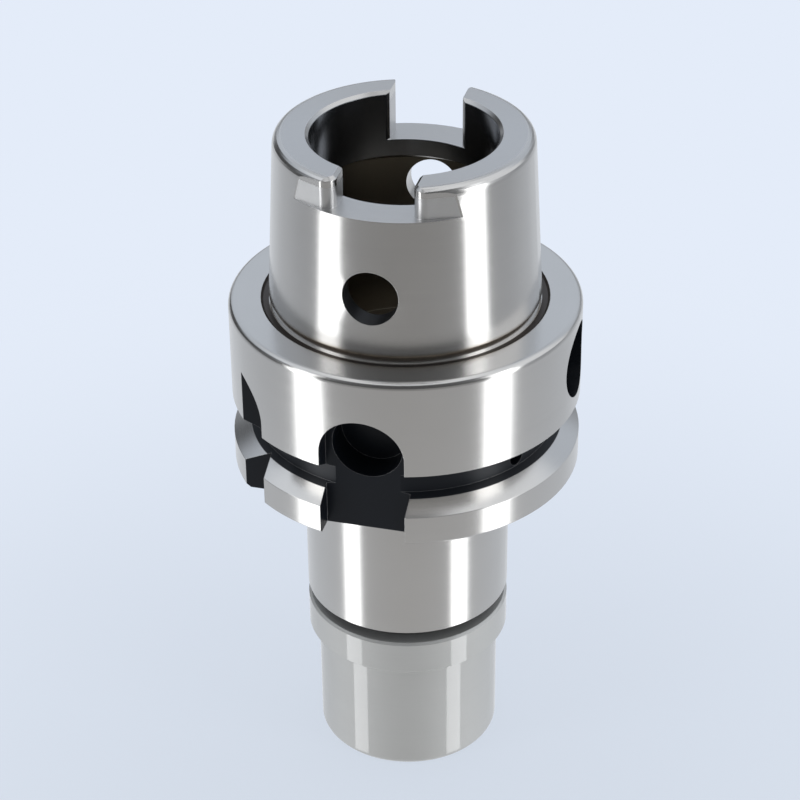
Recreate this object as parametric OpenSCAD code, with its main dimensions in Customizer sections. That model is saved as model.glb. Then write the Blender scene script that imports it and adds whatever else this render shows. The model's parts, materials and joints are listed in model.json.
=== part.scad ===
/* [Shank] */
// Length of the hollow taper above the flange face
shank_len = 25; // [20:0.5:32]
// Diameter that the taper would have at the flange face
taper_base_d = 38.51; // [37:0.01:40]
// Length over which the taper loses one unit of diameter
taper_ratio = 9.98; // [9:0.01:11]
// Rounding of the outer rim at the open end
rim_round = 1.4; // [0.4:0.1:2]
// Wall between the bore that the gripper fingers pass and the taper diameter above
grip_wall = 6.255; // [6:0.005:7.5]
// Wall at the diameter where the clamping shoulder is gauged
shoulder_wall = 4.755; // [4.5:0.005:5.5]
// Height of that gauge diameter above the flange face
shoulder_height = 14.13; // [13:0.01:15]
// Slope of the clamping shoulder above the level
shoulder_angle = 30; // [25:1:35]
// Wall of the chamber below the shoulder
chamber_wall = 3.255; // [3:0.005:3.75]
// Height above the flange face at which the chamber ends
chamber_foot = 3; // [2:0.1:4]
// Wall of the cavity from there to its floor
cavity_wall = 5.955; // [5.5:0.005:6.8]
// Depth of the cavity floor below the flange face
cavity_depth = 10; // [8:0.1:11]
// Chamfer at the mouth of the gripper bore
bore_chamfer = 0.5; // [0.2:0.1:0.8]

/* [End slots] */
// Width of both drive slots
slot_w = 10.54; // [9.5:0.01:11.5]
// Depth of the front slot below the rim
front_slot_depth = 4.5; // [3.5:0.1:5.5]
// Depth of the back slot below the rim
back_slot_depth = 7.5; // [6.5:0.1:8.5]
// Bevel of the slot corners towards the bore
slot_bevel = 0.25; // [0.1:0.05:1.2]
// Rounding of the outer edges of the back slot
back_round = 1.8; // [1:0.1:2.4]
// Depth of the two flats beside the front slot, from the taper diameter at the flange face
flat_depth = 1.555; // [1.2:0.005:1.9]
// Angle between each flat and the level line across the front slot
flat_angle = 26.5; // [25:0.5:28]
// Rounding between a flat and the slot
flat_round = 1.5; // [1.2:0.05:1.8]
// Bevel along the top of each flat and of the slot edge beside it
flat_bevel = 0.5; // [0.2:0.05:0.6]

/* [Cross hole] */
// Diameter of the hole across the taper
cross_hole_d = 7.7; // [6:0.1:8]
// Height of its axis above the flange face
cross_hole_height = 9.2; // [8.5:0.1:10]

/* [Flange] */
// Diameter of the flange
flange_d = 50; // [48:0.5:52]
// Width of the flange from its face to its underside
flange_w = 26; // [25:0.5:28]
// Rounding of the edge of the flange face
face_round = 0.9; // [0.4:0.1:1.2]
// Chamfer of the lower flange edge
flange_chamfer = 0.5; // [0.2:0.1:0.8]
// Width of the shallow relief round the taper foot
relief_w = 1.145; // [0.8:0.005:1.6]
// Depth of that relief
relief_depth = 0.35; // [0.2:0.05:0.6]
// Radial depth of the undercut in the taper foot
foot_undercut = 0.35; // [0.1:0.05:0.5]
// Height of that undercut
foot_undercut_w = 0.9; // [0.5:0.1:1.2]
// Distance from the face to the middle of the gripper groove
groove_depth_pos = 18; // [17:0.1:18.5]
// Diameter at the bottom of the groove
groove_floor_d = 43; // [42.4:0.1:44]
// Width of the groove at its bottom
groove_floor_w = 2.72; // [2.2:0.02:3.2]
// Angle of each groove side to the level
groove_angle = 30; // [28:1:32]

/* [Keyways and side holes] */
// Distance from the face to the round top of both keyways
key_top = 6.5; // [6:0.1:7.5]
// Width of the front keyway
front_key_w = 12; // [11:0.1:13]
// Distance from the axis to its floor
front_key_floor = 21; // [20.6:0.1:21.4]
// Width of the back keyway
back_key_w = 14; // [13:0.1:15]
// Distance from the axis to its floor
back_key_floor = 15.5; // [15.3:0.1:17]
// Sideways distance from the axis to the side of the orientation notch
notch_side = 15.65; // [15:0.05:16]
// Distance from the axis to the floor of the notch
notch_floor = 15.5; // [15:0.1:16]
// Diameter of the data carrier hole in the front keyway
chip_hole_d = 10; // [8:0.1:10.5]
// Depth of that hole below the keyway floor
chip_hole_depth = 4.6; // [4:0.1:5]
// Diameter of the blind hole in the right side of the flange
side_hole_d = 11; // [9:0.1:11.5]
// Distance from the face to its axis
side_hole_pos = 7.3; // [7:0.1:7.8]
// Depth of the side hole
side_hole_depth = 5; // [4:0.5:6]
// Diameter of the small blind hole in the groove floor
groove_hole_d = 2.4; // [1.6:0.1:2.6]
// Depth of the small hole
groove_hole_depth = 2.5; // [1.5:0.1:3]
// Angle of the small hole from the front towards the right
groove_hole_angle = 60; // [55:1:65]

/* [Coolant seat] */
// Bore of the coolant tube thread
tube_thread_d = 15; // [14:0.1:16]
// Depth of that thread below the cavity floor
tube_thread_depth = 14; // [12:0.5:15]
// Chamfer at its mouth
tube_thread_chamfer = 0.8; // [0.4:0.1:1.2]

/* [Neck and nose] */
// Diameter of the neck
neck_d = 30; // [28:0.1:30.4]
// Length of the neck below the flange
neck_len = 23; // [20:0.5:28]
// Fillet between the neck and the flange
neck_fillet = 0.8; // [0.2:0.1:1.2]
// Chamfer of the lower neck edge
neck_chamfer = 0.3; // [0.1:0.1:0.6]
// Diameter of the ground pilot that centres the nut
pilot_d = 23.2; // [22.8:0.1:24]
// Length of the pilot
pilot_len = 5; // [4:0.1:6]
// Outer diameter of the nose thread
thread_d = 22; // [21.6:0.1:22.2]
// Pitch of the nose thread
thread_pitch = 1.5; // [1.25:0.25:1.75]
// Depth of the nose thread
thread_depth = 0.9; // [0.6:0.05:1]
// Width of the flat crest of the thread
thread_crest = 0.25; // [0.1:0.05:0.4]
// Width of the relief between the thread and the pilot
thread_relief_w = 1.2; // [0.8:0.1:2]
// Chamfer at the end of the nose
nose_chamfer = 0.9; // [0.5:0.1:1]

/* [Collet] */
// Overall length of the collet
collet_len = 27.5; // [26:0.1:29]
// Largest diameter of the collet
collet_d = 17; // [16.6:0.1:17.2]
// Half angle of the collet taper
collet_angle = 8; // [7.5:0.1:8]
// Bore that holds the tool
collet_bore_d = 8; // [6:0.1:8.5]
// Length of the front collar with its cone
collar_len = 2.7; // [2.4:0.1:3]
// Diameter of the collar at its widest
collar_d = 16.4; // [16.2:0.1:16.6]
// Half angle of the collar cone
collar_angle = 30; // [28:1:32]
// Width of the extraction groove
neck_groove_w = 2.7; // [2.5:0.1:3]
// Diameter at the bottom of the extraction groove
neck_groove_d = 13.8; // [13.4:0.1:14]
// Slits cut from each end
slit_count = 8; // [4:1:8]
// Width of a slit
slit_w = 0.8; // [0.4:0.1:1]
// Length left uncut at the far end of each slit
slit_rest = 4.5; // [3.5:0.1:6]
// Depth of the collet face inside the nut face
collet_recess = 0.4; // [0.2:0.1:0.8]
// Chamfer at both ends of the tool bore
collet_chamfer = 0.4; // [0.1:0.1:0.6]

/* [Clamping nut] */
// Length of the nut
nut_len = 24.2; // [23.6:0.1:26]
// Gap between the nut and the neck
nut_gap = 1.8; // [1:0.1:2.2]
// Diameter of the nut where the wrench grips it
nut_d = 27; // [26.6:0.1:28]
// Diameter of the collar at the top of the nut
nut_ring_d = 30; // [29:0.1:30.4]
// Length of that collar
nut_ring_len = 5.4; // [4:0.1:6]
// Chamfer at the top edge of the collar
nut_top_chamfer = 0.35; // [0.2:0.05:0.8]
// Chamfer at the lower edge of the collar
nut_ring_chamfer = 0.25; // [0.1:0.05:0.5]
// Rounding of the lower nut edge
nut_foot_round = 1; // [0.5:0.1:1.2]
// Chamfer at the upper mouth of the nut
nut_mouth_chamfer = 0.8; // [0.4:0.1:1.2]
// Diameter of the recess that takes the cone ring
ring_recess_d = 22.7; // [22.5:0.1:22.9]
// Depth of that recess
ring_recess_depth = 5.9; // [5.8:0.1:6]
// Length of the cone ring
ring_len = 5.4; // [5.3:0.1:5.6]
// Height of the cone ring above the nut face
ring_rise = 0.15; // [0.1:0.05:0.25]
// Diameter of the eccentric lip that pulls the collet out
lip_d = 15.9; // [15.8:0.1:16.1]
// Distance by which the lip is off centre
lip_offset = 0.5; // [0.4:0.05:0.6]
// Number of bearing balls
ball_count = 24; // [12:1:28]
// Diameter of a ball
ball_d = 2; // [1.8:0.1:2]
// Height of the ball row above the nut face
ball_height = 3.1; // [2.9:0.1:3.3]
// Diameter of the plug in the ball filling hole
plug_d = 2.4; // [2.2:0.1:2.6]

/* [Stop screw] */
// Outer diameter of the stop screw thread
stop_d = 10; // [9:0.1:10]
// Pitch of that thread
stop_pitch = 1; // [0.75:0.25:1.25]
// Depth of that thread
stop_thread_depth = 0.6; // [0.4:0.05:0.7]
// Length of the threaded part
stop_thread_len = 9.5; // [8:0.5:10]
// Diameter of the screw head
stop_head_d = 10.8; // [10.6:0.1:10.8]
// Length of the head
stop_head_len = 5; // [4.6:0.1:5.4]
// Distance from the collet to the end of the stop screw
stop_gap = 4.6; // [4:0.1:5]
// Length of the threaded hole that carries it
stop_hole_len = 7; // [6:0.1:7.5]
// Width across flats of its hexagon socket
hex_af = 5; // [4:0.1:5]
// Depth of the hexagon socket
hex_depth = 4; // [3:0.1:4.4]
// Diameter of the coolant hole through the screw
coolant_d = 3; // [2:0.1:3.5]
// Diameter of the bore that the head and its seal slide in
seal_bore_d = 11; // [10.9:0.1:11.2]
// Thickness of the seal ring
seal_section = 1.1; // [0.9:0.05:1.1]
// Diameter at the bottom of the seal groove
seal_groove_d = 8.7; // [8.4:0.1:8.7]
// Width of the seal groove
seal_groove_w = 1.5; // [1.3:0.1:1.7]
// Chamfer of the stop screw ends
stop_chamfer = 0.4; // [0.2:0.1:0.5]

/* [Fits] */
// Running clearance on each side between turning or sliding pieces
fit = 0.05; // [0.03:0.01:0.08]
// Clear space on each side between pieces that must not touch
clear = 0.3; // [0.2:0.05:0.4]

/* [Hidden] */
$fn = 96;
// Overrun of every cut
over = 1;
// Steps in a rounded corner of a profile
steps = 6;
// How far a rounding beside a slot stands proud of the flat faces that it joins
flat_blend = 0.012;
// How far the rounding of the back slot's edges stands proud of the taper at the slot's floor
taper_blend = 0.05;
// Angle by which its cut runs on past where it meets them
flat_overlap = 4;

// Heights above the nut face
neck_z = nut_len + nut_gap;
flange_z = neck_z + neck_len;
face_z = flange_z + flange_w;
top_z = face_z + shank_len;
groove_z = face_z - groove_depth_pos;
base_r = taper_base_d / 2;
grip_bore_r = base_r - grip_wall;
chamber_r = base_r - chamber_wall;
cavity_r = base_r - cavity_wall;
relief_r = base_r + relief_w;
flat_distance = base_r - flat_depth;
shoulder_z = face_z + shoulder_height;
shoulder_top_z = shoulder_z + (grip_wall - shoulder_wall) * tan(shoulder_angle);
shoulder_foot_z = shoulder_z - (shoulder_wall - chamber_wall) * tan(shoulder_angle);
chamber_foot_z = face_z + chamber_foot;
cavity_z = face_z - cavity_depth;
front_slot_z = top_z - front_slot_depth;
back_slot_z = top_z - back_slot_depth;
flat_reach = flat_depth + over;
flange_r = flange_d / 2;
tube_r = tube_thread_d / 2;
tube_foot_z = cavity_z - tube_thread_depth;
pilot_z = neck_z - pilot_len;
thread_top_z = pilot_z - thread_relief_w;

// Collet heights and radii
collet_z = collet_recess;
collet_top_z = collet_z + collet_len;
collar_top_z = collet_z + collar_len;
collet_shoulder_z = collar_top_z + neck_groove_w;
collar_front_r = collar_d / 2 - collar_len * tan(collar_angle);
nose_z = collet_shoulder_z + clear;
nose_thread_z = nose_z + nose_chamfer;
thread_turns = floor((thread_top_z - nose_thread_z) / thread_pitch);

// Stop screw heights
stop_z = collet_top_z + stop_gap;
stop_head_z = stop_z + stop_thread_len;
stop_top_z = stop_head_z + stop_head_len;
stop_hole_z = stop_z - stop_pitch;
stop_hole_top_z = stop_hole_z + stop_hole_len;
seal_bore_r = seal_bore_d / 2;
seal_z = stop_head_z + stop_head_len / 2;
seal_ring_r = seal_groove_d / 4 + seal_bore_r / 2;

// Ball row
ball_r = ball_d / 2;
ball_circle_r = ring_recess_d / 2 - clear / 2;
ring_r = ring_recess_d / 2 - clear;

// Radius of the taper at height z
function taper_r(z) = (taper_base_d - (z - face_z) / taper_ratio) / 2;

// Radius of the collet taper at height z
function collet_r(z) = collet_d / 2 - (z - collet_shoulder_z) * tan(collet_angle);

// Points of an arc round centre c from angle a to angle b
function arc(c, r, a, b) = [for (i = [0:steps]) c + r * [cos(a + (b - a) * i / steps), sin(a + (b - a) * i / steps)]];

// Radius and height of one thread ridge that starts at height z
function ridge(z, outer_r, depth, pitch, crest) = [
    [outer_r - depth, z],
    [outer_r, z + (pitch - crest) / 2],
    [outer_r, z + (pitch + crest) / 2],
];

// All the ridges of an outside thread, from height z upwards
function thread(z, turns, outer_r, depth, pitch, crest) = [
    for (i = [0:turns - 1]) each ridge(z + i * pitch, outer_r, depth, pitch, crest)
];

// Outside of the nose and the neck, from the mouth of the socket upwards
function nose_outline() = concat(
    [[0, nose_z], [thread_d / 2 - nose_chamfer, nose_z]],
    thread(nose_thread_z, thread_turns, thread_d / 2, thread_depth, thread_pitch, thread_crest),
    [[thread_d / 2 - thread_depth, nose_thread_z + thread_turns * thread_pitch],
     [thread_d / 2 - thread_depth, pilot_z],
     [pilot_d / 2, pilot_z],
     [pilot_d / 2, neck_z],
     [neck_d / 2 - neck_chamfer, neck_z],
     [neck_d / 2, neck_z + neck_chamfer]],
    arc([neck_d / 2 + neck_fillet, flange_z - neck_fillet], neck_fillet, 180, 90)
);

// Outside of the flange with its gripper groove
function flange_outline() = let (
        half = groove_floor_w / 2,
        rise = (flange_r - groove_floor_d / 2) * tan(groove_angle)
    ) concat(
    [[flange_r - flange_chamfer, flange_z],
     [flange_r, flange_z + flange_chamfer],
     [flange_r, groove_z - half - rise],
     [groove_floor_d / 2, groove_z - half],
     [groove_floor_d / 2, groove_z + half],
     [flange_r, groove_z + half + rise]],
    arc([flange_r - face_round, face_z - face_round], face_round, 0, 90),
    [[relief_r, face_z], [relief_r - relief_depth, face_z - relief_depth]]
);

// Outside of the taper with its undercut foot and rounded rim
function taper_outline() = let (foot_r = taper_r(face_z + foot_undercut_w)) concat(
    [[foot_r - foot_undercut, face_z - relief_depth],
     [foot_r - foot_undercut, face_z + foot_undercut_w - foot_undercut],
     [foot_r, face_z + foot_undercut_w]],
    arc([taper_r(top_z) - rim_round, top_z - rim_round], rim_round, 0, 90),
    [[0, top_z]]
);

// Hollow of the shank and the seat of the coolant tube, from the rim downwards
function cavity_outline() = [
    [0, top_z + over],
    [grip_bore_r + bore_chamfer + over, top_z + over],
    [grip_bore_r, top_z - bore_chamfer],
    [grip_bore_r, shoulder_top_z],
    [chamber_r, shoulder_foot_z],
    [chamber_r, chamber_foot_z],
    [cavity_r, chamber_foot_z - (chamber_r - cavity_r)],
    [cavity_r, cavity_z],
    [tube_r + tube_thread_chamfer, cavity_z],
    [tube_r, cavity_z - tube_thread_chamfer],
    [tube_r, tube_foot_z],
    [seal_bore_r, tube_foot_z - (tube_r - seal_bore_r)],
    [0, tube_foot_z - (tube_r - seal_bore_r)],
];

// Bore of the stop screw and the collet socket, from the coolant seat downwards
function socket_outline() = let (
        hole_relief_r = stop_d / 2 + stop_thread_depth,
        socket_top_z = collet_top_z + clear
    ) [
    [0, tube_foot_z],
    [seal_bore_r, tube_foot_z],
    [seal_bore_r, stop_hole_top_z],
    [stop_d / 2 + fit, stop_hole_top_z],
    [stop_d / 2 + fit, stop_hole_z],
    [hole_relief_r, stop_hole_z],
    [hole_relief_r, socket_top_z],
    [collet_r(socket_top_z) + fit, socket_top_z],
    [collet_r(nose_z - over) + fit, nose_z - over],
    [0, nose_z - over],
];

// A slot with a round top, cut from the front: side is its middle, width its width
module keyway(side, width, floor_y, top) {
    reach = flange_r + over;
    centre_z = face_z - top - width / 2;
    translate([side, -floor_y, centre_z])
        rotate([90, 0, 0])
            cylinder(d = width, h = reach - floor_y);
    translate([side - width / 2, -reach, flange_z - over])
        cube([width, reach - floor_y, centre_z - flange_z + over]);
}

// A drive slot cut from the front, with bevelled corners at the bore
module end_slot(floor_z) {
    half = slot_w / 2;
    corner = sqrt(pow(grip_bore_r, 2) - pow(half, 2));
    reach = base_r + over;
    translate([0, 0, floor_z])
        linear_extrude(top_z - floor_z + over)
            polygon([[-half, -reach], [half, -reach], [half, -corner - slot_bevel],
                     [half + 3 * slot_bevel, -corner + 2 * slot_bevel],
                     [-half - 3 * slot_bevel, -corner + 2 * slot_bevel], [-half, -corner - slot_bevel]]);
}

// What is cut off an outer edge of a drive slot to round it, from the slot's floor up
module edge_cut(floor_z) {
    centre_x = slot_w / 2 + back_round;
    centre_r = taper_r(floor_z) + taper_blend - back_round;
    centre_y = -sqrt(pow(centre_r, 2) - pow(centre_x, 2));
    difference() {
        translate([0, 0, floor_z])
            linear_extrude(top_z - floor_z + over)
                polygon([[centre_x, centre_y], [0, centre_y], [0, 2 * centre_y], [2 * centre_x, 2 * centre_y]]);
        translate([centre_x, centre_y, floor_z - over])
            cylinder(r = back_round + flat_blend, h = top_z - floor_z + 3 * over);
    }
}

// What the cutter takes off beside the front slot, outside its edge at radius r with the bevelled top
module flat_cut(r) {
    polygon([[r, 0], [r + flat_reach, 0], [r + flat_reach, front_slot_depth + over],
             [r - flat_bevel - over, front_slot_depth + over], [r, front_slot_depth - flat_bevel]]);
}

// That cut along a straight edge, which ends over the rounding at its near end
module straight_cut(length) {
    translate([0, length, 0])
        rotate([90, 0, 0])
            linear_extrude(length + flat_reach)
                flat_cut(flat_round);
}

// The flat to the right of the front slot: the cut runs along the flat, round the corner and along the slot
module slot_flat() {
    centre_x = slot_w / 2 + flat_round;
    centre_y = -(flat_distance - flat_round - centre_x * sin(flat_angle)) / cos(flat_angle);
    translate([centre_x, centre_y, front_slot_z]) {
        rotate([0, 0, flat_angle - 90])
            straight_cut(base_r);
        rotate([0, 0, 180])
            mirror([0, 1, 0])
                straight_cut(grip_bore_r / 2);
        rotate([0, 0, 180 - flat_overlap])
            rotate_extrude(angle = 90 + flat_angle + 2 * flat_overlap)
                flat_cut(flat_round + flat_blend);
    }
}

// Blind holes in the flange and the hole across the taper
module side_holes() {
    translate([0, -front_key_floor + chip_hole_depth, face_z - key_top - front_key_w / 2])
        rotate([90, 0, 0])
            cylinder(d = chip_hole_d, h = chip_hole_depth + over);
    translate([flange_r - side_hole_depth, 0, face_z - side_hole_pos])
        rotate([0, 90, 0])
            cylinder(d = side_hole_d, h = side_hole_depth + over);
    translate([0, 0, groove_z])
        rotate([90, 0, groove_hole_angle])
            translate([0, 0, groove_floor_d / 2 - groove_hole_depth])
                cylinder(d = groove_hole_d, h = groove_hole_depth + over);
    translate([0, base_r + over, face_z + cross_hole_height])
        rotate([90, 0, 0])
            cylinder(d = cross_hole_d, h = 2 * (base_r + over));
}

module holder_body() {
    color([0.74, 0.75, 0.76])
        difference() {
            rotate_extrude()
                polygon(concat(nose_outline(), flange_outline(), taper_outline()));
            rotate_extrude()
                polygon(cavity_outline());
            rotate_extrude()
                polygon(socket_outline());
            end_slot(front_slot_z);
            mirror([0, 1, 0])
                end_slot(back_slot_z);
            mirror([0, 1, 0])
                edge_cut(back_slot_z);
            mirror([1, 0, 0])
                mirror([0, 1, 0])
                    edge_cut(back_slot_z);
            slot_flat();
            mirror([1, 0, 0])
                slot_flat();
            keyway(0, front_key_w, front_key_floor, key_top);
            keyway(-notch_side - front_key_w / 2, front_key_w, notch_floor, key_top);
            mirror([0, 1, 0])
                keyway(0, back_key_w, back_key_floor, key_top);
            side_holes();
        }
}

// The groove that the balls run in, cut half from the nut and half from the ring
module ball_track() {
    translate([0, 0, ball_height])
        rotate_extrude()
            translate([ball_circle_r, 0])
                circle(r = ball_r + fit);
}

// Outside of the clamping nut, from its foot upwards
function nut_outline() = concat(
    [[0, 0]],
    arc([nut_d / 2 - nut_foot_round, nut_foot_round], nut_foot_round, -90, 0),
    [[nut_d / 2, nut_len - nut_ring_len],
     [nut_ring_d / 2 - nut_ring_chamfer, nut_len - nut_ring_len],
     [nut_ring_d / 2, nut_len - nut_ring_len + nut_ring_chamfer],
     [nut_ring_d / 2, nut_len - nut_top_chamfer],
     [nut_ring_d / 2 - nut_top_chamfer, nut_len],
     [0, nut_len]]
);

// Inside of the clamping nut, from its foot upwards
function nut_bore_outline() = let (pilot_r = pilot_d / 2 + fit) [
    [0, -over],
    [ring_recess_d / 2, -over],
    [ring_recess_d / 2, ring_recess_depth],
    [thread_d / 2 + fit, ring_recess_depth + ring_recess_d / 2 - thread_d / 2 - fit],
    [thread_d / 2 + fit, thread_top_z],
    [pilot_r, thread_top_z + pilot_r - thread_d / 2],
    [pilot_r, nut_len - nut_mouth_chamfer],
    [pilot_r + nut_mouth_chamfer + over, nut_len + over],
    [0, nut_len + over],
];

module clamping_nut() {
    color([0.70, 0.71, 0.71])
        difference() {
            rotate_extrude()
                polygon(nut_outline());
            rotate_extrude()
                polygon(nut_bore_outline());
            ball_track();
            translate([0, ball_circle_r, ball_height])
                rotate([-90, 0, 0])
                    cylinder(d = plug_d, h = nut_d / 2);
        }
}

module nut_cone_ring() {
    cone_r = collar_front_r + fit / cos(collar_angle);
    lip_z = collar_top_z + clear;
    color([0.66, 0.66, 0.65])
        difference() {
            translate([0, 0, ring_rise])
                cylinder(r = ring_r, h = ring_len);
            rotate_extrude()
                polygon([[0, ring_rise - over],
                         [cone_r + (ring_rise - over - collet_z) * tan(collar_angle), ring_rise - over],
                         [cone_r + (lip_z - collet_z) * tan(collar_angle), lip_z],
                         [0, lip_z]]);
            translate([lip_offset, 0, lip_z])
                cylinder(d = lip_d, h = ring_len);
            ball_track();
        }
}

module nut_bearing_balls() {
    color([0.86, 0.87, 0.88])
        for (i = [0:ball_count - 1])
            rotate([0, 0, 360 * (i + 0.5) / ball_count])
                translate([0, ball_circle_r, ball_height])
                    sphere(d = ball_d);
}

module ball_filler_plug() {
    inner = ball_circle_r + ball_r + fit;
    color([0.62, 0.62, 0.62])
        intersection() {
            translate([0, inner, ball_height])
                rotate([-90, 0, 0])
                    cylinder(d = plug_d, h = nut_d / 2 - inner + over);
            cylinder(d = nut_d, h = nut_len);
        }
}

module collet() {
    bore_r = collet_bore_d / 2;
    color([0.78, 0.79, 0.80])
        difference() {
            rotate_extrude()
                polygon([[bore_r + collet_chamfer, collet_z],
                         [collar_front_r, collet_z],
                         [collar_d / 2, collar_top_z],
                         [neck_groove_d / 2, collar_top_z],
                         [neck_groove_d / 2, collet_shoulder_z],
                         [collet_d / 2, collet_shoulder_z],
                         [collet_r(collet_top_z), collet_top_z],
                         [bore_r + collet_chamfer, collet_top_z],
                         [bore_r, collet_top_z - collet_chamfer],
                         [bore_r, collet_z + collet_chamfer]]);
            for (i = [0:slit_count - 1]) {
                rotate([0, 0, 360 * i / slit_count])
                    translate([-slit_w / 2, 0, collet_z - over])
                        cube([slit_w, collet_d, collet_len - slit_rest + over]);
                rotate([0, 0, 360 * (i + 0.5) / slit_count])
                    translate([-slit_w / 2, 0, collet_z + slit_rest + neck_groove_w])
                        cube([slit_w, collet_d, collet_len]);
            }
        }
}

// Outside of the stop screw, from its lower end upwards
function stop_outline() = let (
        root_r = stop_d / 2 - stop_thread_depth,
        turns = floor((stop_thread_len - 2 * stop_chamfer) / stop_pitch),
        head_r = stop_head_d / 2,
        groove_half = seal_groove_w / 2
    ) concat(
    [[0, stop_z], [root_r - stop_chamfer, stop_z]],
    thread(stop_z + stop_chamfer, turns, stop_d / 2, stop_thread_depth, stop_pitch, stop_pitch / 8),
    [[root_r, stop_z + stop_chamfer + turns * stop_pitch],
     [root_r, stop_head_z],
     [head_r, stop_head_z],
     [head_r, seal_z - groove_half],
     [seal_groove_d / 2, seal_z - groove_half],
     [seal_groove_d / 2, seal_z + groove_half],
     [head_r, seal_z + groove_half],
     [head_r, stop_top_z - stop_chamfer],
     [head_r - stop_chamfer, stop_top_z],
     [0, stop_top_z]]
);

module stop_screw() {
    color([0.22, 0.23, 0.25])
        difference() {
            rotate_extrude()
                polygon(stop_outline());
            translate([0, 0, stop_z - over])
                cylinder(d = coolant_d, h = stop_top_z - stop_z + 2 * over);
            translate([0, 0, stop_top_z - hex_depth])
                cylinder(d = hex_af / cos(30), h = hex_depth + over, $fn = 6);
        }
}

module stop_screw_seal() {
    color([0.08, 0.08, 0.08])
        translate([0, 0, seal_z])
            rotate_extrude()
                translate([seal_ring_r, 0])
                    circle(d = seal_section);
}

holder_body();
clamping_nut();
nut_cone_ring();
nut_bearing_balls();
ball_filler_plug();
collet();
stop_screw();
stop_screw_seal();
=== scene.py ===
import json
import logging
import math
from dataclasses import dataclass, field
from enum import Enum
from typing import Dict, List, Optional, Sequence, Tuple, Union

import bpy
import numpy as np
from mathutils import Matrix, Vector

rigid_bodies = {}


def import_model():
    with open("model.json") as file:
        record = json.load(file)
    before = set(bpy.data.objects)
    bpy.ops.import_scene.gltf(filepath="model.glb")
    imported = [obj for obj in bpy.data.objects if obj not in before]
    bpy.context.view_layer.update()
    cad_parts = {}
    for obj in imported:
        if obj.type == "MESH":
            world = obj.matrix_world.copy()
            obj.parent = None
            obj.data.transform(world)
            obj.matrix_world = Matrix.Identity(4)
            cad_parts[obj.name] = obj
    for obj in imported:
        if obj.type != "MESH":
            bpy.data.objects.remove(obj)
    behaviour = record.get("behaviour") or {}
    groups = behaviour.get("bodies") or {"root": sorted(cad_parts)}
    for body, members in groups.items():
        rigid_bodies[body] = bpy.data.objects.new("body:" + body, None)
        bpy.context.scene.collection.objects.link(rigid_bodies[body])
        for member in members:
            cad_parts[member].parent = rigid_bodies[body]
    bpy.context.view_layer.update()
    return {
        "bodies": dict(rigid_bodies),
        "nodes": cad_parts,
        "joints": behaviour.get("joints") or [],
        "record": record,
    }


# Looks of a collet chuck holder with a hollow taper shank: one ground steel body,
# blackened in its grooves, with a smooth clamping nut under its neck.
# Every length in a finish or a zone is in millimetres, everything else in metres.

LOG = logging.getLogger("chuck_holder")
MM = 0.001
Colour = Tuple[float, float, float]
Socket = bpy.types.NodeSocket
Number = Union[float, Socket]
Span = Tuple[float, float]
Tone = Tuple[float, float]
Stops = Tuple[Tuple[float, float, float], ...]
COOL_RED = 0.04
COOL_BLUE = 0.06


def srgb(red: int, green: int, blue: int) -> Colour:
    """Turns a screen colour into the linear colour that renders as it.

    Args:
        red: Red, 0 to 255.
        green: Green, 0 to 255.
        blue: Blue, 0 to 255.

    Returns:
        The three linear values, 0 to 1.
    """
    parts = [part / 255.0 for part in (red, green, blue)]
    linear = [p / 12.92 if p <= 0.04045 else ((p + 0.055) / 1.055) ** 2.4 for p in parts]
    return (linear[0], linear[1], linear[2])


def grey(value: float, cool: float) -> Colour:
    """Makes a grey of that value, bluer where cool is above 0 and warmer below it."""
    return (value * (1.0 - COOL_RED * cool), value, value * (1.0 + COOL_BLUE * cool))


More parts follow.
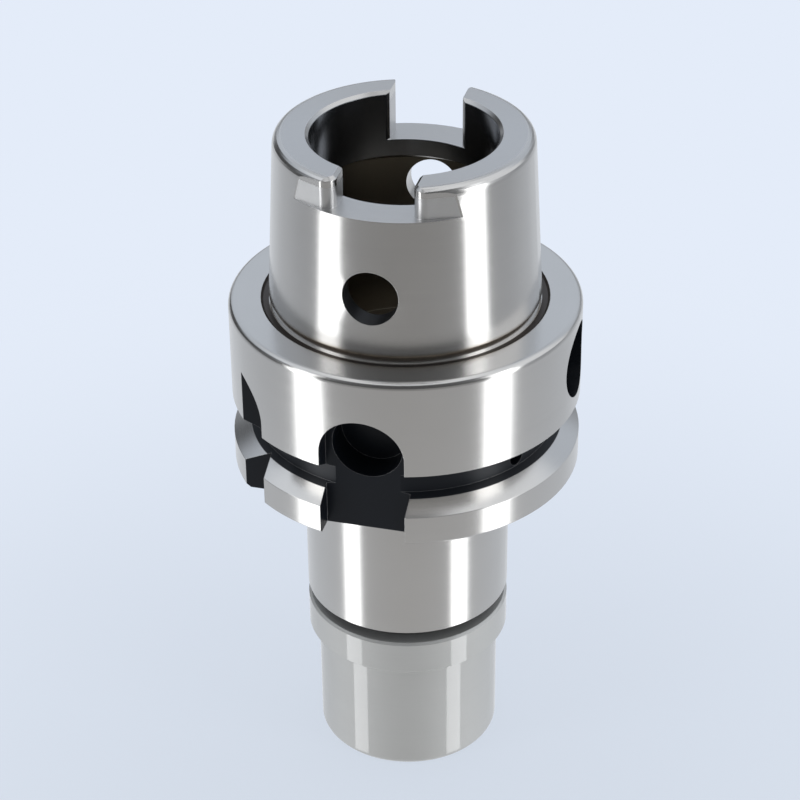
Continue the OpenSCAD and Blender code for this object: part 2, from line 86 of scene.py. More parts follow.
class Graph:
    """A node tree being built, with one short method for each kind of node it needs."""

    def __init__(self, tree: bpy.types.NodeTree) -> None:
        """Empties the tree."""
        self.tree = tree
        tree.nodes.clear()

    def add(self, kind: str, **settings: object) -> bpy.types.Node:
        """Adds a node.

        Args:
            kind: Blender's name of the node's type.
            **settings: Attributes to set on it.

        Returns:
            The node.
        """
        node = self.tree.nodes.new(kind)
        for name, value in settings.items():
            setattr(node, name, value)
        return node

    def put(self, socket: Socket, value: object) -> None:
        """Links a socket to another one, or sets its value.

        Args:
            socket: The input.
            value: An output socket, a number, or a tuple for a vector or colour.
        """
        if isinstance(value, bpy.types.NodeSocket):
            self.tree.links.new(value, socket)
        elif isinstance(value, tuple) and len(value) == 3 and socket.type == "RGBA":
            socket.default_value = (*value, 1.0)
        else:
            socket.default_value = value

    def math(self, operation: str, *values: Number, clamp: bool = False) -> Socket:
        """Works out one sum.

        Args:
            operation: Blender's name of the operation.
            *values: One to three numbers or sockets.
            clamp: Keeps the result between 0 and 1.

        Returns:
            The result's socket.
        """
        node = self.add("ShaderNodeMath", operation=operation, use_clamp=clamp)
        for socket, value in zip(node.inputs, values):
            self.put(socket, value)
        return node.outputs[0]

    def vector(self, operation: str, *values: object, out: str = "Vector") -> Socket:
        """Works out one vector sum.

        Args:
            operation: Blender's name of the operation.
            *values: The vectors, or a vector and a number for SCALE.
            out: Which output is read.

        Returns:
            The result's socket.
        """
        node = self.add("ShaderNodeVectorMath", operation=operation)
        if operation == "SCALE":
            self.put(node.inputs[0], values[0])
            self.put(node.inputs["Scale"], values[1])
        else:
            for socket, value in zip(node.inputs, values):
                self.put(socket, value)
        return node.outputs[out]

    def join(self, x: Number, y: Number, z: Number) -> Socket:
        """Joins three numbers to one vector."""
        node = self.add("ShaderNodeCombineXYZ")
        for socket, value in zip(node.inputs, (x, y, z)):
            self.put(socket, value)
        return node.outputs[0]

    def split(self, vector: Socket) -> Tuple[Socket, Socket, Socket]:
        """Splits a vector into its three numbers."""
        node = self.add("ShaderNodeSeparateXYZ")
        self.put(node.inputs[0], vector)
        return (node.outputs[0], node.outputs[1], node.outputs[2])

    def mix(self, factor: Number, low: Number, high: Number) -> Socket:
        """Blends two numbers: low where the factor is 0, high where it is 1."""
        node = self.add("ShaderNodeMix", data_type="FLOAT")
        for name, value in (("Factor", factor), ("A", low), ("B", high)):
            self.put(node.inputs[name], value)
        return node.outputs["Result"]

    def tint(self, factor: Number, low: object, high: object, how: str = "MIX") -> Socket:
        """Blends two colours.

        Args:
            factor: 0 for the first colour, 1 for the second.
            low: First colour.
            high: Second colour.
            how: Blender's name of the blend.

        Returns:
            The colour's socket.
        """
        node = self.add("ShaderNodeMix", data_type="RGBA", blend_type=how)
        self.put(node.inputs[0], factor)
        self.put(node.inputs[6], low)
        self.put(node.inputs[7], high)
        return node.outputs[2]

    def step(self, value: Number, start: float, end: float) -> Socket:
        """Rises smoothly from 0 at start to 1 at end, or falls where end is below start."""
        node = self.add("ShaderNodeMapRange", interpolation_type="SMOOTHSTEP")
        flip = end < start
        low, high = (end, start) if flip else (start, end)
        for name, number in (("Value", value), ("From Min", low), ("From Max", high),
                             ("To Min", 1.0 if flip else 0.0), ("To Max", 0.0 if flip else 1.0)):
            self.put(node.inputs[name], number)
        return node.outputs["Result"]

    def both(self, *masks: Socket) -> Socket:
        """Multiplies masks, so that the result is 1 where all are."""
        result = masks[0]
        for mask in masks[1:]:
            result = self.math("MULTIPLY", result, mask)
        return result

    def either(self, *masks: Socket) -> Socket:
        """Takes the greatest of some masks."""
        result = masks[0]
        for mask in masks[1:]:
            result = self.math("MAXIMUM", result, mask)
        return result

    def noise(self, place: Socket, scale: float, detail: float = 2.0, rough: float = 0.5,
              fourth: Optional[Socket] = None) -> Socket:
        """Adds a noise pattern.

        Args:
            place: Where it is read.
            scale: How many features a unit has.
            detail: Number of finer layers.
            rough: Strength of the finer layers.
            fourth: Fourth coordinate, where the pattern has one.

        Returns:
            The pattern's value, about 0.5 on average.
        """
        node = self.add("ShaderNodeTexNoise", noise_dimensions="4D" if fourth else "3D")
        self.put(node.inputs["Vector"], place)
        if fourth:
            self.put(node.inputs["W"], fourth)
        for name, value in (("Scale", scale), ("Detail", detail), ("Roughness", rough)):
            self.put(node.inputs[name], value)
        return node.outputs["Fac"]

    def ramp(self, factor: Socket, stops: Sequence[Tuple[float, Colour]]) -> Socket:
        """Turns a number into a colour along a row of stops.

        Args:
            factor: The number, 0 to 1.
            stops: Places and colours, in rising order.

        Returns:
            The colour's socket.
        """
        node = self.add("ShaderNodeValToRGB")
        row = node.color_ramp.elements
        while len(row) < len(stops):
            row.new(0.5)
        for element, (place, colour) in zip(row, stops):
            element.position = place
            element.color = (*colour, 1.0)
        self.put(node.inputs[0], factor)
        return node.outputs[0]


class Place:
    """The point being shaded, in millimetres about the holder's axis."""

    def __init__(self, graph: Graph) -> None:
        """Reads Object coordinates and works out the radius and the way round."""
        self.graph = graph
        metres = graph.add("ShaderNodeTexCoord").outputs["Object"]
        self.point = graph.vector("SCALE", metres, 1.0 / MM)
        self.x, self.y, self.z = graph.split(self.point)
        flat = graph.join(self.x, self.y, 0.0)
        self.r = graph.vector("LENGTH", flat, out="Value")
        turned = graph.join(graph.math("MULTIPLY", self.y, -1.0), self.x, 0.0)
        swing = graph.add("ShaderNodeVectorTransform", vector_type="VECTOR",
                          convert_from="OBJECT", convert_to="WORLD")
        graph.put(swing.inputs[0], graph.vector("NORMALIZE", turned))
        self.round = swing.outputs[0]

    def lines(self, pitch: float, detail: float = 2.0) -> Socket:
        """Fine lines round the axis, as turning and grinding leave them.

        The noise is read at (radius, height) over the pitch, and moves slowly with x and y,
        so a line fades in and out on its way round and has no seam.

        Args:
            pitch: Distance between lines.
            detail: Number of finer layers.

        Returns:
            The pattern's value.
        """
        graph = self.graph
        across = graph.math("MULTIPLY", self.r, 1.0 / pitch)
        along = graph.math("MULTIPLY", self.z, 1.0 / pitch)
        slow = graph.math("MULTIPLY", self.x, 0.035)
        return graph.noise(graph.join(across, along, slow), 1.0, detail, 0.6,
                           graph.math("MULTIPLY", self.y, 0.035))


@dataclass(frozen=True)
class SlotZone:
    """A slot milled from one side: two walls, a floor, and a round end at its top."""

    centre_x: float
    half_width: float
    floor_y: float
    end_z: float
    side: float = -1.0
    edge: float = 0.02

    def mask(self, place: Place) -> Socket:
        """Is 1 inside the slot, whose end is a half circle about (centre_x, end_z)."""
        graph = place.graph
        off = graph.math("SUBTRACT", place.x, self.centre_x)
        rise = graph.math("MAXIMUM", graph.math("SUBTRACT", place.z, self.end_z), 0.0)
        reach = graph.vector("LENGTH", graph.join(off, rise, 0.0), out="Value")
        inside = graph.math("LESS_THAN", reach, self.half_width + self.edge)
        depth = graph.math("MULTIPLY", place.y, self.side)
        beyond = graph.math("GREATER_THAN", depth, self.floor_y * self.side - self.edge)
        return graph.both(inside, beyond)


@dataclass(frozen=True)
class CornerZone:
    """The notch that cuts one corner of the flange, open to two sides."""

    wall_x: float
    floor_y: float
    end_x: float
    end_z: float
    edge: float = 0.02

    def mask(self, place: Place) -> Socket:
        """Is 1 beyond the wall and the floor, below the half circle that ends the notch."""
        graph = place.graph
        radius = self.wall_x - self.end_x
        left = graph.math("LESS_THAN", place.x, self.wall_x + self.edge)
        front = graph.math("LESS_THAN", place.y, self.floor_y + self.edge)
        off = graph.math("MAXIMUM", graph.math("SUBTRACT", place.x, self.end_x), 0.0)
        rise = graph.math("MAXIMUM", graph.math("SUBTRACT", place.z, self.end_z), 0.0)
        reach = graph.vector("LENGTH", graph.join(off, rise, 0.0), out="Value")
        return graph.both(left, front, graph.math("LESS_THAN", reach, radius + self.edge))


@dataclass(frozen=True)
class HoleZone:
    """A round hole drilled from one side, straight along X or Y."""

    along_x: bool
    height: float
    radius: float
    depth: float
    side: float
    edge: float = 0.02

    def mask(self, place: Place) -> Socket:
        """Is 1 inside the circle and beyond the depth the hole reaches."""
        graph = place.graph
        across = place.y if self.along_x else place.x
        along = place.x if self.along_x else place.y
        rise = graph.math("SUBTRACT", place.z, self.height)
        reach = graph.vector("LENGTH", graph.join(across, rise, 0.0), out="Value")
        inside = graph.math("LESS_THAN", reach, self.radius + self.edge)
        depth = graph.math("MULTIPLY", along, self.side)
        return graph.both(inside, graph.math("GREATER_THAN", depth, self.depth - self.edge))


@dataclass(frozen=True)
class RingZone:
    """A ring about the axis, between two radii and two heights."""

    inner: float
    outer: float
    bottom: float
    top: float
    soft: float = 0.04

    def mask(self, place: Place) -> Socket:
        """Is 1 inside the ring, and falls to 0 over the soft width at each side."""
        graph = place.graph
        masks = [graph.step(place.r, self.outer + self.soft, self.outer - self.soft),
                 graph.step(place.z, self.bottom - self.soft, self.bottom + self.soft),
                 graph.step(place.z, self.top + self.soft, self.top - self.soft)]
        if self.inner > 0.0:
            masks.append(graph.step(place.r, self.inner - self.soft, self.inner + self.soft))
        return graph.both(*masks)


@dataclass(frozen=True)
class MilledZone:
    """The cut faces at the rim of the taper: slot floors and walls, flats and rim face."""

    base_radius: float
    base_z: float
    ratio: float
    bore_radius: float
    front_z: float
    back_z: float
    top_z: float
    rounding: float
    skin: float = 0.12
    under: float = 0.03
    face: float = 0.02

    def mask(self, place: Place) -> Socket:
        """Is 1 inside the cone of the taper above the slot floors, but not on the rounded rim.

        The cone's radius is the base radius less the height above the base over twice the ratio,
        and less the skin, which keeps the ground outside of the taper free.
        """
        graph = place.graph
        rise = graph.math("SUBTRACT", place.z, self.base_z)
        cone = graph.math("MULTIPLY_ADD", rise, -0.5 / self.ratio,
                          self.base_radius - self.skin)
        inside = graph.math("LESS_THAN", place.r, cone)
        wall = graph.math("GREATER_THAN", place.r, self.bore_radius)
        floor = graph.mix(graph.math("GREATER_THAN", place.y, 0.0), self.front_z, self.back_z)
        above = graph.math("GREATER_THAN", place.z, graph.math("SUBTRACT", floor, self.under))
        low = graph.math("LESS_THAN", place.z, self.top_z - self.rounding)
        face = graph.math("GREATER_THAN", place.z, self.top_z - self.face)
        return graph.both(inside, wall, above, graph.either(low, face))


class Edge(Enum):
    """How wide the softened edges of a piece look."""

    CRISP = 0.05
    BROKEN = 0.12
    ROUNDED = 0.22


@dataclass(frozen=True)
class Finish:
    """A steel surface with lines round the axis, broken edges and slight stains."""

    name: str
    colour: Colour
    roughness: float
    spread: float
    anisotropy: float
    pitch: float
    relief: float
    edge: Edge = Edge.BROKEN
    stain: float = 0.04
    film: float = 0.0
    film_roughness: float = 0.07
    film_ior: float = 1.9
    coarse: float = 7.0
    cloud_scale: float = 0.09
    speck_scale: float = 2.6
    speck_spread: float = 0.015
    line_shade: float = 0.03
    worn_span: Span = (0.995, 0.90)
    bevel_samples: int = 6

    def material(self, zones: Sequence["Coat"] = ()) -> bpy.types.Material:
        """Builds the material: plain steel, and over it a coat, or painted shade, in each zone.

        Args:
            zones: Coats laid over the steel, the last on top.

        Returns:
            The material.
        """
        made = bpy.data.materials.new(self.name)
        made.use_nodes = True
        graph = Graph(made.node_tree)
        place = Place(graph)
        fine = place.lines(self.pitch)
        coarse = place.lines(self.pitch * self.coarse, 1.0)
        cloud = graph.noise(place.point, self.cloud_scale, 3.0)
        speck = graph.noise(place.point, self.speck_scale, 2.0)
        bevel = graph.add("ShaderNodeBevel", samples=self.bevel_samples)
        graph.put(bevel.inputs["Radius"], self.edge.value * MM)
        true_normal = graph.add("ShaderNodeNewGeometry").outputs["Normal"]
        turn = graph.vector("DOT_PRODUCT", bevel.outputs[0], true_normal, out="Value")
        worn = graph.step(turn, *self.worn_span)

        shade = graph.mix(cloud, 1.0 - self.stain, 1.0 + self.stain)
        ridge = graph.mix(fine, 1.0 - self.line_shade, 1.0 + self.line_shade)
        shade = graph.math("MULTIPLY", shade, ridge)
        colour = graph.tint(1.0, self.colour, graph.join(shade, shade, shade), "MULTIPLY")
        rough = graph.mix(fine, self.roughness - self.spread, self.roughness + self.spread)
        half = 0.5 * self.spread
        rough = graph.math("ADD", rough, graph.mix(coarse, -half, half))
        rough = graph.math("ADD", rough, graph.mix(speck, -self.speck_spread, self.speck_spread))
        metal: Number = 1.0
        height = graph.math("MULTIPLY", fine, self.relief)
        for coat in zones:
            mask = graph.either(*[zone.mask(place) for zone in coat.zones])
            mask = graph.math("MULTIPLY", mask, graph.mix(worn, 1.0, 1.0 - coat.wear))
            grain = graph.noise(place.point, coat.grain, 3.0, 0.65)
            depth = graph.mix(grain, 1.0 - coat.mottle, 1.0 + coat.mottle)
            skin = graph.tint(1.0, coat.colour, graph.join(depth, depth, depth), "MULTIPLY")
            colour = graph.tint(mask, colour, skin)
            matt = graph.mix(grain, coat.roughness - coat.spread, coat.roughness + coat.spread)
            rough = graph.mix(mask, rough, matt)
            metal = graph.mix(mask, metal, coat.metal)
            height = graph.mix(mask, height, graph.math("MULTIPLY", grain, coat.relief))

        bump = graph.add("ShaderNodeBump")
        graph.put(bump.inputs["Strength"], 1.0)
        graph.put(bump.inputs["Distance"], MM)
        graph.put(bump.inputs["Height"], height)
        graph.put(bump.inputs["Normal"], bevel.outputs[0])
        shader = graph.add("ShaderNodeBsdfPrincipled")
        graph.put(shader.inputs["Base Color"], colour)
        graph.put(shader.inputs["Metallic"], metal)
        graph.put(shader.inputs["Roughness"], rough)
        graph.put(shader.inputs["Anisotropic"], self.anisotropy)
        graph.put(shader.inputs["Anisotropic Rotation"], 0.25)
        graph.put(shader.inputs["Tangent"], place.round)
        graph.put(shader.inputs["Coat Weight"], self.film)
        graph.put(shader.inputs["Coat Roughness"], self.film_roughness)
        graph.put(shader.inputs["Coat IOR"], self.film_ior)
        graph.put(shader.inputs["Normal"], bump.outputs[0])
        output = graph.add("ShaderNodeOutputMaterial")
        graph.put(output.inputs["Surface"], shader.outputs[0])
        return made


@dataclass(frozen=True)
class Coat:
    """A skin on steel, such as black oxide or a milled face, or painted shade, over some zones
    of a piece.
    """

    colour: Colour
    roughness: float
    metal: float
    zones: Tuple[object, ...]
    wear: float = 0.5
    grain: float = 3.0
    mottle: float = 0.25
    relief: float = 0.0006
    spread: float = 0.06


@dataclass(frozen=True)
class Rubber:
    """Moulded black rubber with a fine grain and a trace of grease."""

    name: str
    colour: Colour = (0.018, 0.018, 0.019)
    roughness: float = 0.55
    greased: float = 0.2
    dried: float = 0.1
    grain_scale: float = 14.0
    grease_scale: float = 0.9
    grain_depth: float = 0.01
    grain_shade: float = 0.2

    def material(self) -> bpy.types.Material:
        """Builds the material.

        Returns:
            The material.
        """
        made = bpy.data.materials.new(self.name)
        made.use_nodes = True
        graph = Graph(made.node_tree)
        place = Place(graph)
        grain = graph.noise(place.point, self.grain_scale, 3.0)
        grease = graph.noise(place.point, self.grease_scale, 2.0)
        shade = graph.mix(grain, 1.0 - self.grain_shade, 1.0 + self.grain_shade)
        shader = graph.add("ShaderNodeBsdfPrincipled")
        tone = graph.tint(1.0, self.colour, graph.join(shade, shade, shade), "MULTIPLY")
        graph.put(shader.inputs["Base Color"], tone)
        rough = graph.mix(grease, self.roughness - self.greased, self.roughness + self.dried)
        graph.put(shader.inputs["Roughness"], rough)
        bump = graph.add("ShaderNodeBump")
        graph.put(bump.inputs["Distance"], self.grain_depth * MM)
        graph.put(bump.inputs["Height"], grain)
        graph.put(shader.inputs["Normal"], bump.outputs[0])
        output = graph.add("ShaderNodeOutputMaterial")
        graph.put(output.inputs["Surface"], shader.outputs[0])
        return made


GROUND = Finish("ground_steel", (0.76, 0.75, 0.735), 0.20, 0.03, 0.55, 0.11, 0.00025)
TURNED = Finish("nut_steel", (0.76, 0.765, 0.755), 0.72, 0.05, 0.0, 0.22, 0.0007, film=1.0)
LAPPED = Finish("ring_steel", (0.66, 0.655, 0.64), 0.22, 0.04, 0.4, 0.15, 0.0004)
POLISHED = Finish("ball_steel", (0.80, 0.80, 0.79), 0.08, 0.02, 0.0, 0.30, 0.00005, Edge.CRISP)
SPRING = Finish("collet_steel", (0.60, 0.60, 0.59), 0.24, 0.04, 0.5, 0.12, 0.0003)
BLUED = Finish("black_steel", (0.035, 0.036, 0.040), 0.38, 0.06, 0.3, 0.18, 0.0006)


def paint(node: str, material: bpy.types.Material, frame: Dict) -> None:
    """Gives a node of the frame its material, in every slot it has.

    Args:
        node: Name of the node.
        material: The material.
        frame: What the frame's loading returned.
    """
    mesh = frame["nodes"][node].data
    if not mesh.materials:
        mesh.materials.append(material)
    for index in range(len(mesh.materials)):
        mesh.materials[index] = material
    LOG.info("%s: %s, %d triangles", node, material.name, len(mesh.polygons))


@dataclass
class HolderBody:
    """The one-piece body: taper shank, flange and neck; black oxide in its grooves, painted
    shade in its bores and creases.
    """

    keyway: SlotZone = SlotZone(0.0, 6.0, -21.0, 62.5)
    rear_keyway: SlotZone = SlotZone(0.0, 7.0, 15.5, 61.5, 1.0)
    notch: CornerZone = CornerZone(-15.65, -15.5, -21.65, 62.5)
    carrier_hole: HoleZone = HoleZone(False, 62.5, 5.0, 16.4, -1.0)
    side_hole: HoleZone = HoleZone(True, 67.7, 5.5, 20.0, 1.0)
    groove: RingZone = RingZone(18.5, 22.5, 53.0, 61.0, 0.06)
    cross_hole_shade: HoleZone = HoleZone(False, 84.2, 3.85, 13.0, -1.0)
    nose: RingZone = RingZone(0.0, 14.62, 5.0, 26.05, 0.02)
    milled: MilledZone = MilledZone(19.255, 75.0, 9.98, 13.2, 95.5, 92.5, 100.0, 1.42)
    gripper_bore_shade: RingZone = RingZone(0.0, 13.08, 89.9, 99.55)
    chamber: RingZone = RingZone(0.0, 16.1, 51.0, 90.05)
    relief: RingZone = RingZone(19.22, 20.42, 74.4, 74.97, 0.02)
    taper_foot_shade: RingZone = RingZone(18.6, 19.35, 75.02, 76.1, 0.35)
    steel: Finish = GROUND

    def coats(self) -> List[Coat]:
        """Lists the skins and the painted shade, the last on top.

        Returns:
            Milled faces, painted shade in the chamber, gripper bore, foot of the taper, relief
            groove, nose and cross hole, and black oxide.
        """
        blackened = (self.keyway, self.rear_keyway, self.notch, self.carrier_hole,
                     self.side_hole, self.groove)
        return [Coat((0.74, 0.74, 0.74), 0.36, 1.0, (self.milled,),
                     grain=0.7, mottle=0.04, relief=0.0008),
                # Painted shade: darker brownish steel in the chamber, for the shade inside the
                # hollow body.
                Coat((0.36, 0.33, 0.28), 0.28, 1.0, (self.chamber,),
                     wear=0.0, grain=0.35, mottle=0.05, relief=0.0, spread=0.01),
                # Painted shade: darker bluish steel on the gripper bore, for the shade inside
                # it.
                Coat((0.26, 0.27, 0.29), 0.22, 1.0, (self.gripper_bore_shade,),
                     wear=0.0, grain=0.35, mottle=0.05, relief=0.0001, spread=0.01),
                # Painted shade: a darker brownish band at the foot of the taper, in the crease
                # above the flange face.
                Coat((0.46, 0.40, 0.33), 0.24, 1.0, (self.taper_foot_shade,),
                     wear=0.0, grain=0.3, mottle=0.15, relief=0.0, spread=0.02),
                # Painted shade: near-black steel in the relief groove at the foot of the taper.
                Coat((0.09, 0.08, 0.075), 0.36, 0.9, (self.relief,), wear=0.1),
                # Painted shade: near-black on the nose inside the nut and on the walls of the
                # front cross hole.
                Coat((0.020, 0.021, 0.024), 0.40, 0.3, (self.nose, self.cross_hole_shade), wear=0.1),
                Coat((0.006, 0.008, 0.012), 0.34, 0.35, blackened, wear=0.2)]

    def dress(self, frame: Dict) -> None:
        """Lays the ground steel on the body, with its milled faces, black oxide and painted
        shade.
        """
        paint("holder_body", self.steel.material(self.coats()), frame)


@dataclass
class NutSet:
    """The clamping nut, its pressure ring, the balls between them and their filler plug."""

    turned: Finish = TURNED
    lapped: Finish = LAPPED
    polished: Finish = POLISHED

    def dress(self, frame: Dict) -> None:
        """Dresses the four pieces."""
        steel = self.turned.material()
        paint("clamping_nut", steel, frame)
        paint("ball_filler_plug", steel, frame)
        paint("nut_cone_ring", self.lapped.material(), frame)
        paint("nut_bearing_balls", self.polished.material(), frame)


@dataclass
class Clamp:
    """The spring collet that holds the tool."""

    steel: Finish = SPRING

    def dress(self, frame: Dict) -> None:
        """Dresses the collet."""
        paint("collet", self.steel.material(), frame)


@dataclass
class LengthStop:
    """The stop screw in the body and its seal."""

    screw: Finish = BLUED
    seal: Rubber = Rubber("seal_rubber")

    def dress(self, frame: Dict) -> None:
        """Dresses the screw and the seal."""
        paint("stop_screw", self.screw.material(), frame)
        paint("stop_screw_seal", self.seal.material(), frame)


@dataclass(frozen=True)
class Surroundings:
    """The world: the pale backdrop for the camera, grey studio walls for the steel.

    A row of stops holds places, greys and how cool they are. A place is 0 straight behind
    the holder and 1 on the camera's side. A span holds where a blend starts and ends, as the
    ray's rise, or as its part to the right or towards the camera.
    """

    high: Stops = ((0.0, 0.78, 1.0), (0.04, 0.68, 1.0), (0.18, 0.50, 1.0), (0.42, 0.37, 0.9),
                   (0.70, 0.30, 0.6), (1.0, 0.235, -0.3))
    low: Stops = ((0.0, 0.80, 1.0), (0.04, 0.66, 1.0), (0.18, 0.57, 1.0), (0.42, 0.55, 0.8),
                  (0.70, 0.50, 0.5), (1.0, 0.44, 0.0))
    low_span: Span = (-0.38, -0.62)
    horizon_span: Span = (-0.14, 0.0)
    right: Tone = (0.30, 1.2)
    left: Tone = (0.06, 0.5)
    left_span: Span = (-0.42, -0.60)
    ahead: Tone = (0.08, 0.3)
    ahead_span: Span = (0.2, 0.8)
    sky: Stops = ((0.0, 0.60, 2.0), (0.30, 0.50, 1.8), (0.60, 0.26, 1.0), (1.0, 0.06, 0.3))
    sky_span: Span = (0.14, 0.36)
    sky_rise: float = 0.19
    crown: Stops = ((0.0, 0.34, 1.2), (0.06, 0.42, 1.2), (0.20, 0.82, 1.2), (0.55, 0.76, 1.0),
                    (0.80, 0.12, 0.5), (1.0, 0.06, 0.3))
    crown_span: Span = (0.57, 0.73)
    wall: Tone = (0.78, 0.6)
    wall_across: Span = (0.80, 0.94)
    wall_span: Span = (0.08, 0.24)
    ceiling: Tone = (0.85, 0.5)
    ceiling_span: Span = (0.78, 0.93)
    zenith: Tone = (0.10, 0.0)
    zenith_span: Span = (0.955, 0.995)
    plain: Colour = (0.72, 0.74, 0.77)

    def build(self, forward: Span, pale: Colour) -> None:
        """Makes the world.

        Args:
            forward: Level direction from the holder to the camera, x and y.
            pale: Colour that the camera sees.
        """
        world = bpy.data.worlds.new("surroundings")
        bpy.context.scene.world = world
        world.use_nodes = True
        graph = Graph(world.node_tree)
        ray = graph.vector("NORMALIZE", graph.add("ShaderNodeTexCoord").outputs["Generated"])
        path = graph.add("ShaderNodeLightPath")
        steel = self.steel_sees(graph, ray, forward)
        plain = graph.tint(path.outputs["Is Glossy Ray"], self.plain, steel)
        colour = graph.tint(path.outputs["Is Camera Ray"], plain, pale)
        glow = graph.add("ShaderNodeBackground")
        graph.put(glow.inputs["Color"], colour)
        output = graph.add("ShaderNodeOutputWorld")
        graph.put(output.inputs["Surface"], glow.outputs[0])

    def steel_sees(self, graph: Graph, ray: Socket, forward: Span) -> Socket:
        """Works out the grey that a reflected ray meets, from the lowest rays to the highest.

        Args:
            graph: The world's nodes.
            ray: Direction of the ray.
            forward: Level direction from the holder to the camera, x and y.

        Returns:
            The colour's socket.
        """
        x, y, z = graph.split(ray)
        level = graph.vector("NORMALIZE", graph.join(x, y, 0.0))
        facing = graph.vector("DOT_PRODUCT", level, (*forward, 0.0), out="Value")
        place = graph.math("MULTIPLY_ADD", facing, 0.5, 0.5, clamp=True)
        across = (-forward[1], forward[0], 0.0)
        aside = graph.vector("DOT_PRODUCT", level, across, out="Value")
        high, low, sky, crown = [graph.ramp(place, [(at, grey(*tone)) for at, *tone in row])
                                 for row in (self.high, self.low, self.sky, self.crown)]
        left = graph.step(aside, *self.left_span)
        horizon = graph.tint(left, grey(*self.right), grey(*self.left))
        horizon = graph.tint(graph.step(facing, *self.ahead_span), horizon, grey(*self.ahead))
        wall = graph.both(graph.step(aside, *self.wall_across), graph.step(z, *self.wall_span))
        over = graph.math("SUBTRACT", z, graph.math("MULTIPLY", left, self.sky_rise))
        seen = graph.tint(graph.step(z, *self.low_span), high, low)
        seen = graph.tint(graph.step(z, *self.horizon_span), seen, horizon)
        seen = graph.tint(graph.step(over, *self.sky_span), seen, sky)
        seen = graph.tint(graph.step(z, *self.crown_span), seen, crown)
        seen = graph.tint(wall, seen, grey(*self.wall))
        seen = graph.tint(graph.step(z, *self.ceiling_span), seen, grey(*self.ceiling))
        return graph.tint(graph.step(z, *self.zenith_span), seen, grey(*self.zenith))


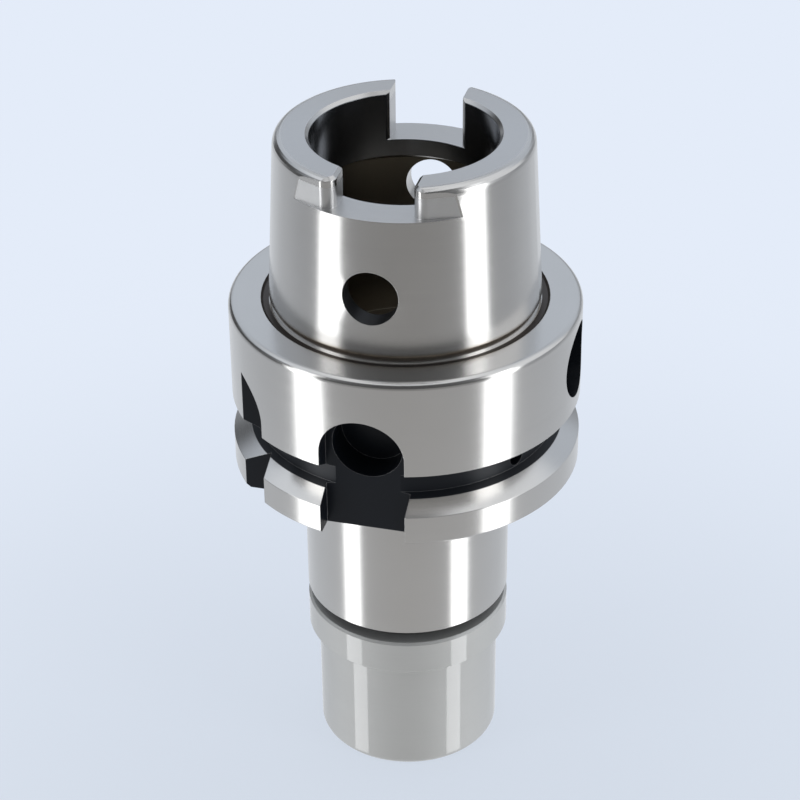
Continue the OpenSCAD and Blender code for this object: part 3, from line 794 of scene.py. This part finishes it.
@dataclass
class Studio:
    """The pale floor, the two tall side lights, the surroundings and the camera."""

    camera_at: Tuple[float, float, float] = (0.0758, -0.2870, 0.2424)
    target: Tuple[float, float, float] = (-0.00089, -0.000235, 0.05711)
    roll: float = math.radians(-0.56)
    lens: float = 108.8
    pale: Colour = srgb(228, 236, 249)
    # Grey of the painted shade on the floor by the foot.
    near: Colour = srgb(217, 225, 236)
    floor_half: float = 6.0
    shade_radius: float = 0.33
    light_distance: float = 0.95
    light_angles: Tuple[float, float] = (-66.0, 60.8)
    light_width: float = 0.345
    light_bottom: float = -1.15
    light_top: float = 0.75
    light_radiance: float = 1.7
    light_colour: Colour = (0.98, 0.99, 1.0)
    sensor: float = 36.0
    clip: Span = (0.01, 50.0)
    floor_points: int = 9
    patch_ahead: float = 0.16
    patch_core: float = 0.05
    shadow_span: Span = (0.14, 0.03)
    shadow_share: float = 0.30
    surroundings: Surroundings = Surroundings()
    forward: Tuple[float, float] = field(init=False)

    def __post_init__(self) -> None:
        """Works out the level direction from the holder to the camera."""
        step = Vector(self.camera_at) - Vector(self.target)
        level = Vector((step.x, step.y)).normalized()
        self.forward = (level.x, level.y)

    def build(self) -> None:
        """Makes everything that isn't the object."""
        self.add_camera()
        self.add_floor()
        for index, angle in enumerate(self.light_angles):
            self.add_light(f"side_light_{index}", angle)
        self.surroundings.build(self.forward, self.pale)

    def add_camera(self) -> None:
        """Places the camera: right, up and back are the columns of its matrix."""
        data = bpy.data.cameras.new("camera")
        data.lens = self.lens
        data.sensor_width = self.sensor
        data.clip_start, data.clip_end = self.clip
        camera = bpy.data.objects.new("camera", data)
        bpy.context.scene.collection.objects.link(camera)
        at = Vector(self.camera_at)
        ahead = (Vector(self.target) - at).normalized()
        right = ahead.cross(Vector((0.0, 0.0, 1.0))).normalized()
        up = right.cross(ahead)
        turned = right * math.cos(self.roll) + up * math.sin(self.roll)
        up = turned.cross(ahead)
        rows = Matrix((turned, up, -ahead)).transposed().to_4x4()
        camera.matrix_world = Matrix.Translation(at) @ rows
        bpy.context.scene.camera = camera

    def add_floor(self) -> None:
        """Lays the floor, a grid at height 0, pale with a slightly greyer patch of painted shade
        by the foot.
        """
        count = self.floor_points
        span = np.linspace(-self.floor_half, self.floor_half, count)
        across, along = np.meshgrid(span, span, indexing="ij")
        points = np.stack([across, along, np.zeros_like(across)], axis=-1).reshape(-1, 3)
        index = np.arange(count * count).reshape(count, count)
        quads = np.stack([index[:-1, :-1], index[1:, :-1], index[1:, 1:], index[:-1, 1:]],
                         axis=-1).reshape(-1, 4)
        mesh = bpy.data.meshes.new("floor")
        mesh.from_pydata(points.tolist(), [], quads.tolist())
        floor = bpy.data.objects.new("floor", mesh)
        bpy.context.scene.collection.objects.link(floor)
        mesh.materials.append(self.floor_material())
        floor.visible_glossy = False
        floor.visible_shadow = False

    def floor_material(self) -> bpy.types.Material:
        """Pale colour for the camera, with a part of the plain shading that keeps the shadow.

        Returns:
            The material.
        """
        made = bpy.data.materials.new("floor")
        made.use_nodes = True
        graph = Graph(made.node_tree)
        point = graph.add("ShaderNodeTexCoord").outputs["Object"]
        middle = (self.forward[0] * self.patch_ahead, self.forward[1] * self.patch_ahead, 0.0)
        away = graph.vector("LENGTH", graph.vector("SUBTRACT", point, middle), out="Value")
        # Painted shade: the floor turns greyer towards a point in front of the holder.
        pale = graph.step(away, self.patch_core, self.shade_radius)
        tone = graph.tint(pale, self.near, self.pale)
        glow = graph.add("ShaderNodeEmission")
        graph.put(glow.inputs["Color"], tone)
        matt = graph.add("ShaderNodeBsdfDiffuse")
        graph.put(matt.inputs["Color"], tone)
        near = graph.vector("LENGTH", point, out="Value")
        share = graph.math("MULTIPLY", graph.step(near, *self.shadow_span), self.shadow_share)
        seen = graph.add("ShaderNodeMixShader")
        graph.put(seen.inputs[0], share)
        graph.put(seen.inputs[1], glow.outputs[0])
        graph.put(seen.inputs[2], matt.outputs[0])
        path = graph.add("ShaderNodeLightPath")
        whole = graph.add("ShaderNodeMixShader")
        graph.put(whole.inputs[0], path.outputs["Is Camera Ray"])
        graph.put(whole.inputs[1], matt.outputs[0])
        graph.put(whole.inputs[2], seen.outputs[0])
        output = graph.add("ShaderNodeOutputMaterial")
        graph.put(output.inputs["Surface"], whole.outputs[0])
        return made

    def add_light(self, name: str, angle: float) -> None:
        """Stands a tall soft light at the given angle from the camera, facing the holder.

        Args:
            name: Name of the light.
            angle: Degrees round the holder from the camera, positive to its right.
        """
        swing = math.atan2(self.forward[1], self.forward[0]) + math.radians(angle)
        out = Vector((math.cos(swing), math.sin(swing), 0.0))
        height = self.light_top - self.light_bottom
        data = bpy.data.lights.new(name, "AREA")
        data.shape = "RECTANGLE"
        data.size = self.light_width
        data.size_y = height
        data.energy = self.light_radiance * math.pi * self.light_width * height
        data.color = self.light_colour
        light = bpy.data.objects.new(name, data)
        bpy.context.scene.collection.objects.link(light)
        middle = out * self.light_distance
        middle.z = (self.light_top + self.light_bottom) / 2
        side = Vector((0.0, 0.0, 1.0)).cross(out)
        rows = Matrix((side, Vector((0.0, 0.0, 1.0)), out)).transposed().to_4x4()
        light.matrix_world = Matrix.Translation(middle) @ rows
        light.visible_camera = False


def main() -> None:
    """Loads the frame, dresses each sub-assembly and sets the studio."""
    logging.basicConfig(level=logging.INFO, format="%(message)s")
    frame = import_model()
    for part in (HolderBody(), NutSet(), Clamp(), LengthStop()):
        LOG.info("dressing %s", type(part).__name__)
        part.dress(frame)
    Studio().build()
    bpy.context.scene.view_settings.view_transform = "Standard"


if __name__ == "__main__":
    main()
